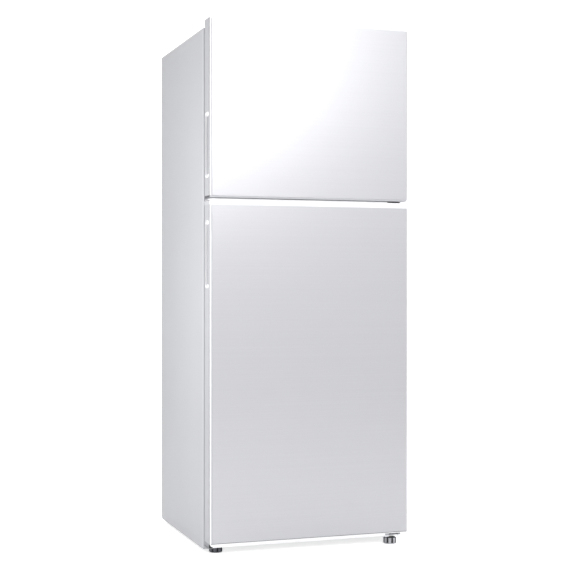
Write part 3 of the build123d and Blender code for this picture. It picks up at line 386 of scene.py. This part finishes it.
def bottom_cap():
    """White in front, grey on the handle side (the cap's own grey darkened with painted shade), with a near-black
    corner of painted shade where the two meet and a painted shadow line under the door panel.
    """
    s = Shader("bottom_cap", Roughness=0.38)
    fine = s.noise(1600.0, 2.0, 0.55)
    flow = s.noise(6.0, 3.0, 0.5)
    x, y = place(s, "X"), place(s, "Y")
    side = s.span(x, 1.0, 0.0, -0.3499, -0.3470)
    front = s.span(y, 1.0, 0.0, -0.3317, -0.3310)
    z = place(s, "Z")
    ax, az = s.maths("ADD", x, 0.3385), s.maths("SUBTRACT", z, 0.0415)
    far = s.maths("SQRT", s.maths("ADD", s.maths("MULTIPLY", ax, ax), s.maths("MULTIPLY", az, az)), 0.0)
    corner = s.maths("MULTIPLY", s.span(far, 0.0, 1.0, 0.0088, 0.0092), s.maths("MULTIPLY", s.span(x, 1.0, 0.0, -0.3386, -0.3384), s.span(z, 1.0, 0.0, 0.0414, 0.0416)))
    # painted shade: near black at the front corner where front and side meet
    edge = s.maths("MULTIPLY", corner, s.span(y, 1.0, 0.0, -0.3262, -0.3256))
    # painted shadow: a dark line under the lower edge of the door panel
    line = s.maths("MULTIPLY", s.span(z, 0.0, 1.0, 0.0405, 0.0407), s.span(y, 0.0, 1.0, -0.3313, -0.3309))
    white = s.ramp(flow, (0.3, srgb(243, 243, 245)), (0.7, srgb(247, 247, 249)))
    # handle side in grey: the cap's own tone darkened with painted shade
    c = s.mix(side, white, srgb(132, 133, 139))
    c = s.mix(front, c, white)
    c = s.mix(s.maths("MULTIPLY", line, s.span(x, 0.0, 1.0, -0.3436, -0.3434)), c, srgb(96, 97, 104))
    s.link(s.mix(edge, c, srgb(26, 26, 31)), "Base Color")
    s.link(s.span(fine, 0.33, 0.43), "Roughness")
    s.bump(fine, 0.12, 0.00012)
    return s.mat


def foot_plastic(name, cx, cy, grey):
    """Grey lobes, and flutes painted dark as shade in the notches, told apart by their distance from the foot's own
    axis.
    """
    s = Shader(name, Roughness=0.4)
    fine = s.noise(900.0, 2.0, 0.5)
    dx, dy = s.maths("SUBTRACT", place(s, "X"), cx), s.maths("SUBTRACT", place(s, "Y"), cy)
    r = s.maths("SQRT", s.maths("ADD", s.maths("MULTIPLY", dx, dx), s.maths("MULTIPLY", dy, dy)), 0.0)
    lobe = s.span(r, 0.0, 1.0, 0.0207, 0.0213)
    # painted shade: dark in the flutes between the lobes
    dark = s.ramp(fine, (0.3, srgb(26, 26, 30)), (0.7, srgb(34, 34, 38)))
    s.link(s.mix(lobe, dark, srgb(*grey)), "Base Color")
    s.link(s.span(fine, 0.34, 0.46), "Roughness")
    s.bump(fine, 0.2, 0.0002)
    return s.mat


def lower_hinge():
    """Pale coated plate with a dark pin and collar."""
    s = Shader("lower_hinge", Roughness=0.4, Metallic=0.15)
    fine = s.noise(800.0, 2.0, 0.5)
    x, z = place(s, "X"), place(s, "Z")
    pin = s.maths("MULTIPLY", s.span(x, 0.0, 1.0, 0.3150, 0.3153), s.span(z, 0.0, 1.0, 0.0301, 0.0303))
    lip = s.span(x, 1.0, 0.0, 0.2892, 0.2896)
    pale = s.ramp(fine, (0.3, srgb(222, 223, 226)), (0.7, srgb(232, 233, 236)))
    c = s.mix(s.maths("MULTIPLY", lip, s.span(z, 0.0, 1.0, 0.0301, 0.0303)), pale, srgb(168, 169, 174))
    s.link(s.mix(pin, c, srgb(24, 24, 28)), "Base Color")
    s.link(s.span(fine, 0.34, 0.46), "Roughness")
    s.bump(fine, 0.12, 0.0002)
    return s.mat


SLOTS = {e["node"]: e["material_slot"] for e in frame["record"]["subparts"]}
for name, obj in NODES.items():
    obj.data.materials.clear()
    obj.data.materials.append(MATERIALS[SLOTS[name]])
side_mat = trim_side()
for door in ("freezer", "fridge"):
    NODES[f"{door}_door_side_trim"].data.materials[0] = side_mat
    lo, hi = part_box(f"{door}_door_handle_cup")
    NODES[f"{door}_door_handle_cup"].data.materials[0] = handle_cup(f"{door}_handle_cup", lo[2], hi[2])
NODES["freezer_door_top_cap"].data.materials[0] = door_cap("freezer_top_cap")
# the handle-side end is painted dark from 1.1545 m up: painted shade of the gap between the doors
NODES["fridge_door_top_cap"].data.materials[0] = door_cap("fridge_top_cap", 1.1545)
NODES["fridge_door_bottom_cap"].data.materials[0] = bottom_cap()
paint = side_paint()
for side in ("left", "right"):
    NODES[f"side_panel_{side}"].data.materials[0] = paint
# grey cap; its handle-side end is painted dark as painted shade of the gap between the doors
NODES["freezer_door_bottom_cap"].data.materials[0] = door_cap("under_cap_silver", None, (196, 197, 201), (60, 61, 68), -0.3487)
NODES["hinge_lower"].data.materials[0] = lower_hinge()
# the left foot's lobes are painted darker than the right foot's: painted shade on one of two copies of the same
# plastic
for side, grey in (("left", (104, 106, 114)), ("right", (176, 177, 182))):
    lo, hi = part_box(f"foot_{side}")
    NODES[f"foot_{side}"].data.materials[0] = foot_plastic(f"foot_{side}_plastic", (lo[0] + hi[0]) / 2, (lo[1] + hi[1]) / 2, grey)

# ---------------------------------------------------------------- detail pieces
def piece(name, bm, body, mat, smooth=35.0):
    bmesh.ops.recalc_face_normals(bm, faces=bm.faces)
    me = bpy.data.meshes.new(name)
    bm.to_mesh(me)
    bm.free()
    if smooth:
        me.polygons.foreach_set("use_smooth", [True] * len(me.polygons))
        me.set_sharp_from_angle(angle=math.radians(smooth))
    ob = bpy.data.objects.new(name, me)
    SCENE.collection.objects.link(ob)
    me.materials.append(mat)
    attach(ob, body)
    return ob


TURN = {"Z": Matrix.Identity(3), "Y": Matrix.Rotation(math.radians(-90), 3, "X"), "-Y": Matrix.Rotation(math.radians(90), 3, "X"), "-Z": Matrix.Rotation(math.radians(180), 3, "X")}


def turned(bm, at, axis, profile, seg=24, sides=None):
    """A turned shape: (radius, height) pairs in mm along an axis from a point in mm; closed at both ends."""
    at, rot = Vector(at) / 1000, TURN[axis]
    rings = []
    for r, h in profile:
        n = sides or seg
        rings.append([bm.verts.new(at + rot @ Vector((r * math.cos(2 * math.pi * k / n), r * math.sin(2 * math.pi * k / n), h)) / 1000) for k in range(n)])
    for a, b in zip(rings, rings[1:]):
        for k in range(len(a)):
            bm.faces.new((a[k], a[(k + 1) % len(a)], b[(k + 1) % len(b)], b[k]))
    bm.faces.new(list(reversed(rings[0])))
    bm.faces.new(rings[-1])


def ring(bm, at, axis, profile, seg=40):
    """As turned(), with the last ring joined to the first."""
    at, rot = Vector(at) / 1000, TURN[axis]
    rings = [[bm.verts.new(at + rot @ Vector((r * math.cos(2 * math.pi * k / seg), r * math.sin(2 * math.pi * k / seg), h)) / 1000) for k in range(seg)] for r, h in profile]
    for a, b in zip(rings, rings[1:] + rings[:1]):
        for k in range(seg):
            bm.faces.new((a[k], a[(k + 1) % seg], b[(k + 1) % seg], b[k]))


def slab(bm, lo, hi, bevel=0.4, seg=2):
    """A block in mm with rounded edges."""
    lo, hi = Vector(lo) / 1000, Vector(hi) / 1000
    tmp = bmesh.new()
    bmesh.ops.create_cube(tmp, size=1.0)
    for v in tmp.verts:
        v.co = Vector(((lo[i] + hi[i]) / 2 + v.co[i] * (hi[i] - lo[i]) for i in range(3)))
    bmesh.ops.bevel(tmp, geom=list(tmp.edges), offset=bevel / 1000, segments=seg, affect="EDGES", profile=0.5)
    me = bpy.data.meshes.new("tmp")
    tmp.to_mesh(me)
    tmp.free()
    bm.from_mesh(me)
    bpy.data.meshes.remove(me)


def outline(bm, pts, z0, z1):
    """A prism of a plan outline, in mm."""
    low = [bm.verts.new((x / 1000, y / 1000, z0 / 1000)) for x, y in pts]
    top = [bm.verts.new((x / 1000, y / 1000, z1 / 1000)) for x, y in pts]
    for k in range(len(pts)):
        j = (k + 1) % len(pts)
        bm.faces.new((low[k], low[j], top[j], top[k]))
    bm.faces.new(list(reversed(low)))
    bm.faces.new(top)


screw_mat = zinc("screw_heads", (186, 186, 180), spangle=400.0, rough=0.3)
black = rubbery("black_rubber", (30, 30, 33), 0.55)
white = moulded("detail_white", (238, 238, 240), rough=0.35)
dark = moulded("detail_dark", (52, 53, 58), rough=0.45)

# screws of the back panel and the rear grille: flanged hexagon heads
bm = bmesh.new()
for x, z in [(sx * 324, z) for sx in (-1, 1) for z in (300, 560, 820, 1080, 1340, 1600)] + [(x, 1690) for x in (-168, 0, 168)]:
    turned(bm, (x, 330.3, z), "Y", [(5.2, 0.0), (5.2, 0.45), (4.9, 0.6)])
    turned(bm, (x, 330.3, z), "Y", [(3.9, 0.4), (3.9, 1.2), (3.4, 1.5)], sides=6)
for x in (-324, -157, 0, 157, 324):
    turned(bm, (x, 330.7, 232), "Y", [(4.6, 0.0), (4.6, 0.3), (4.3, 0.45)])
    turned(bm, (x, 330.7, 232), "Y", [(3.4, 0.3), (3.4, 0.8), (3.0, 1.1)], sides=6)
piece("rear_screws", bm, "cabinet", screw_mat)

# grommet of the mains outlet, plugs of the foam filling ports
bm = bmesh.new()
ring(bm, (160, 330.6, 50), "Y", [(8.4, -1.4), (8.4, 0.7), (9.2, 1.2), (11.2, 1.2), (12.0, 0.5), (12.0, 0.0), (9.0, 0.0), (9.0, -1.4)])
piece("cord_outlet_grommet", bm, "cabinet", black)
bm = bmesh.new()
for x, z in ((-168, 760), (168, 760), (-168, 1300), (168, 1300)):
    turned(bm, (x, 330.3, z), "Y", [(15.0, 0.0), (15.0, 0.9), (14.2, 1.4), (11.0, 1.4), (10.4, 0.8), (2.5, 0.8), (2.0, 1.1)], seg=36)
piece("foam_port_plugs", bm, "cabinet", white)

# gusset between the cabinet's lower front corner and the foot, below the door
bm = bmesh.new()
for x0, x1, pts in ((-349.5, -346.7, [(-262.0, 13.0), (-262.0, 27.4), (-326.0, 27.4), (-326.0, 26.2)]), (-346.7, -336.0, [(-262.0, 24.6), (-262.0, 27.4), (-326.0, 27.4), (-326.0, 26.2)])):
    near, off = [[bm.verts.new((x / 1000, y / 1000, z / 1000)) for y, z in pts] for x in (x0, x1)]
    for k in range(4):
        bm.faces.new((near[k], near[(k + 1) % 4], off[(k + 1) % 4], off[k]))
    bm.faces.new(near)
    bm.faces.new(list(reversed(off)))
guard = Shader("foot_guard", Roughness=0.42)
fine = guard.noise(1200.0, 2.0, 0.5)
side_tone = guard.ramp(fine, (0.3, srgb(140, 141, 146)), (0.7, srgb(148, 149, 154)))
guard.link(side_tone, "Base Color")
guard.link(guard.span(fine, 0.36, 0.48), "Roughness")
guard.bump(fine, 0.15, 0.00015)
piece("foot_guard_left", bm, "cabinet", guard.mat, smooth=0)

# threads of the levelling feet
for side, top in (("left", 25.6), ("right", 25.6)):
    lo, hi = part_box(f"foot_{side}")
    cx, cy = (lo[0] + hi[0]) * 500, (lo[1] + hi[1]) * 500
    bm = bmesh.new()
    prof, z = [(5.0, 20.9)], 21.1
    while z < top:
        prof += [(5.0, z), (5.55, z + 0.45), (5.0, z + 0.9)]
        z += 1.0
    turned(bm, (cx, cy, 0), "Z", prof, seg=28)
    piece(f"foot_thread_{side}", bm, f"foot_{side[0]}", screw_mat)

# dial marks round the temperature knob, pointer on the knob
lo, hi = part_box("temperature_knob")
kx, kz = (lo[0] + hi[0]) * 500, (lo[2] + hi[2]) * 500
hlo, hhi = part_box("control_housing")
face = hlo[1] * 1000
bm = bmesh.new()
for i in range(7):
    a = math.radians(150 - i * 20)
    c, sn = math.cos(a), math.sin(a)
    pts = [(r * c + t * sn, r * sn - t * c) for r, t in ((12.6, -0.45), (14.6 + 0.25 * i, -0.45), (14.6 + 0.25 * i, 0.45), (12.6, 0.45))]
    back = [bm.verts.new(((kx + u) / 1000, face / 1000 + 0.0001, (kz + v) / 1000)) for u, v in pts]
    front = [bm.verts.new(((kx + u) / 1000, face / 1000 - 0.00025, (kz + v) / 1000)) for u, v in pts]
    for k in range(4):
        bm.faces.new((back[k], back[(k + 1) % 4], front[(k + 1) % 4], front[k]))
    bm.faces.new(back)
    bm.faces.new(list(reversed(front)))
piece("dial_marks", bm, "cabinet", dark, smooth=0)
bm = bmesh.new()
slab(bm, (kx - 0.7, lo[1] * 1000 - 0.25, kz + 3.0), (kx + 0.7, lo[1] * 1000 + 0.4, kz + 9.5), 0.2)
piece("knob_pointer", bm, "thermostat_knob", dark)

# moulded grips on the drawers, silver strips on the shelf fronts
trim_mat = moulded("drawer_trim", (232, 234, 238), rough=0.3)
silver = brushed("shelf_strip", (206, 208, 212), 0.28, (20.0, 1200.0, 1200.0))
for node, body in (("crisper_drawer", "crisper"), ("fresh_drawer", "fresh_room")):
    lo, hi = [Vector(v) * 1000 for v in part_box(node)]
    bm = bmesh.new()
    slab(bm, (lo.x + 26, lo.y - 3.2, hi.z - 19), (hi.x - 26, lo.y + 0.6, hi.z - 6.5), 1.4, 3)
    slab(bm, (-70, lo.y - 9.5, hi.z - 22), (70, lo.y - 1.5, hi.z - 17.5), 1.6, 3)
    slab(bm, (-70, lo.y - 4.5, hi.z - 30), (70, lo.y + 0.4, hi.z - 17.5), 1.2, 3)
    piece(f"{node}_grip", bm, body, trim_mat)
bm = bmesh.new()
for z in (300, 450, 680, 900):
    slab(bm, (-284, -111.2, z + 3.0), (284, -109.6, z + 9.0), 0.5, 2)
slab(bm, (-276, -131.2, 1439.0), (276, -129.6, 1445.0), 0.5, 2)
piece("shelf_front_strips", bm, "cabinet", silver)

# screw cap on the hinge cover
lo, hi = [Vector(v) * 1000 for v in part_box("hinge_cover")]
bm = bmesh.new()
turned(bm, (300, -205, 1745.8), "Z", [(6.0, 0.0), (6.0, 0.8), (5.3, 1.3), (2.2, 1.3), (1.8, 0.9)])
piece("hinge_cover_screw_cap", bm, "cabinet", moulded("cap_grey", (206, 207, 210), rough=0.4))

# ---------------------------------------------------------------- camera
cam_data = bpy.data.cameras.new("camera")
cam_data.sensor_width = 36.0
cam_data.lens = 80.27
cam = bpy.data.objects.new("camera", cam_data)
SCENE.collection.objects.link(cam)
cam.location = (-1.4523, -4.2985, 0.8811)
cam.rotation_mode = "XYZ"
cam.rotation_euler = (math.radians(90.0), 0.0, -0.3306)
SCENE.camera = cam

# ---------------------------------------------------------------- floor and light
bm = bmesh.new()
R, BACK, RISE = 9.0, 5.0, 4.0
profile = [(-R, 0.0), (BACK - 2.0, 0.0)]
for i in range(1, 13):
    a = math.radians(90 * i / 12)
    profile.append((BACK - 2.0 + 2.0 * math.sin(a), 2.0 - 2.0 * math.cos(a)))
profile.append((BACK, RISE + 2))
rows = [[bm.verts.new((x, y, z - 0.0004)) for y, z in profile] for x in (-R, R)]
for i in range(len(profile) - 1):
    bm.faces.new((rows[0][i], rows[1][i], rows[1][i + 1], rows[0][i + 1]))
me = bpy.data.meshes.new("studio_floor")
bm.normal_update()
bm.to_mesh(me)
bm.free()
floor = bpy.data.objects.new("studio_floor", me)
SCENE.collection.objects.link(floor)
f = Shader("studio_floor", Roughness=0.85)
f.link(f.ramp(f.noise(3.0, 2.0), (0.3, (0.94, 0.94, 0.94)), (0.7, (0.96, 0.96, 0.96))), "Base Color")
f.set("Emission Color", (1.0, 1.0, 1.0))
seen = f.nt.nodes.new("ShaderNodeLightPath").outputs["Is Camera Ray"]
f.link(f.span(seen, 0.03, 0.72, 0.0, 1.0), "Emission Strength")
me.materials.append(f.mat)
for p in me.polygons:
    p.use_smooth = True

world = bpy.data.worlds.new("studio")
world.use_nodes = True
world.node_tree.nodes["Background"].inputs["Color"].default_value = (1.0, 1.0, 1.0, 1.0)
wnt = world.node_tree
seen = wnt.nodes.new("ShaderNodeLightPath").outputs["Is Camera Ray"]
level = wnt.nodes.new("ShaderNodeMapRange")
level.inputs["To Min"].default_value = 0.55
level.inputs["To Max"].default_value = 1.0
wnt.links.new(seen, level.inputs["Value"])
wnt.links.new(level.outputs["Result"], wnt.nodes["Background"].inputs["Strength"])
SCENE.world = world
SCENE.view_settings.view_transform = "Standard"
SCENE.view_settings.look = "None"


def softbox(name, at, to, size_x, size_y, watts, colour=(1.0, 1.0, 1.0), shape="RECTANGLE"):
    d = bpy.data.lights.new(name, "AREA")
    d.shape = shape
    d.size, d.size_y = size_x, size_y
    d.energy = watts
    d.color = colour
    o = bpy.data.objects.new(name, d)
    SCENE.collection.objects.link(o)
    o.location = at
    o.rotation_mode = "QUATERNION"
    o.rotation_quaternion = (Vector(to) - Vector(at)).to_track_quat("-Z", "Y")
    o.visible_camera = False
    return o


softbox("key_high_left", (0.31, -4.2, 2.66), (0.1, -0.33, 1.6), 2.5, 2.4, 52, shape="ELLIPSE")
softbox("front_fill", (0.8, -7.5, 1.2), (0.0, 0.0, 0.9), 9.0, 6.0, 90)
softbox("overhead", (0.0, 0.6, 4.4), (0.0, 0.0, 0.0), 5.0, 5.0, 160)
softbox("side_left", (-1.25, -0.50, 1.02), (-0.35, -0.27, 1.02), 0.3, 1.1, 7.6)
